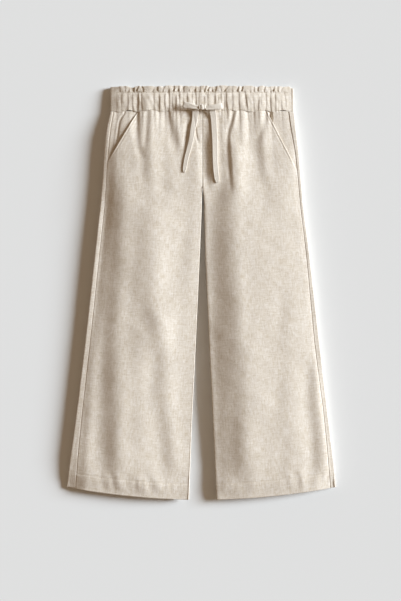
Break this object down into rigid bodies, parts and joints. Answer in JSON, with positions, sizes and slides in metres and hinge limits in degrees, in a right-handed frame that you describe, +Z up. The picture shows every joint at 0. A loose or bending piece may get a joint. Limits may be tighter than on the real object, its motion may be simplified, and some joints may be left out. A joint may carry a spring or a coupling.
{
  "type": "linen drawstring trousers",
  "caption": "wide-leg pull-on linen trousers laid flat, gathered elastic waistband with a frilled heading, tied flat drawstring, slanted hip pockets, turned-up hems",
  "frame": {"origin": "bottom centre of the whole outline, on the surface that the trousers lie on", "axes": "+Y from the hems to the waist, +Z up out of the front, +X to the right as seen from the front (the wearer's left)"},
  "size_m": [0.3853, 0.5882, 0.0236],
  "materials": {
    "linen": "matt plain-weave natural linen, undyed oatmeal with slubs",
    "waistband_linen": "the same linen, double, gathered by elastic",
    "facing_linen": "the same linen inside the pocket opening",
    "drawstring_linen": "folded and edge-stitched flat tape of the same linen"
  },
  "bodies": {
    "root": {"front_left": "linen", "front_right": "linen", "back_left": "linen", "back_right": "linen", "waistband": "waistband_linen", "pocket_facing_left": "facing_linen", "pocket_facing_right": "facing_linen", "drawstring_knot": "drawstring_linen", "drawstring_loop_left": "drawstring_linen", "drawstring_loop_right": "drawstring_linen", "drawstring_tail_left": "drawstring_linen", "drawstring_tail_right": "drawstring_linen"}
  },
  "joints": []
}
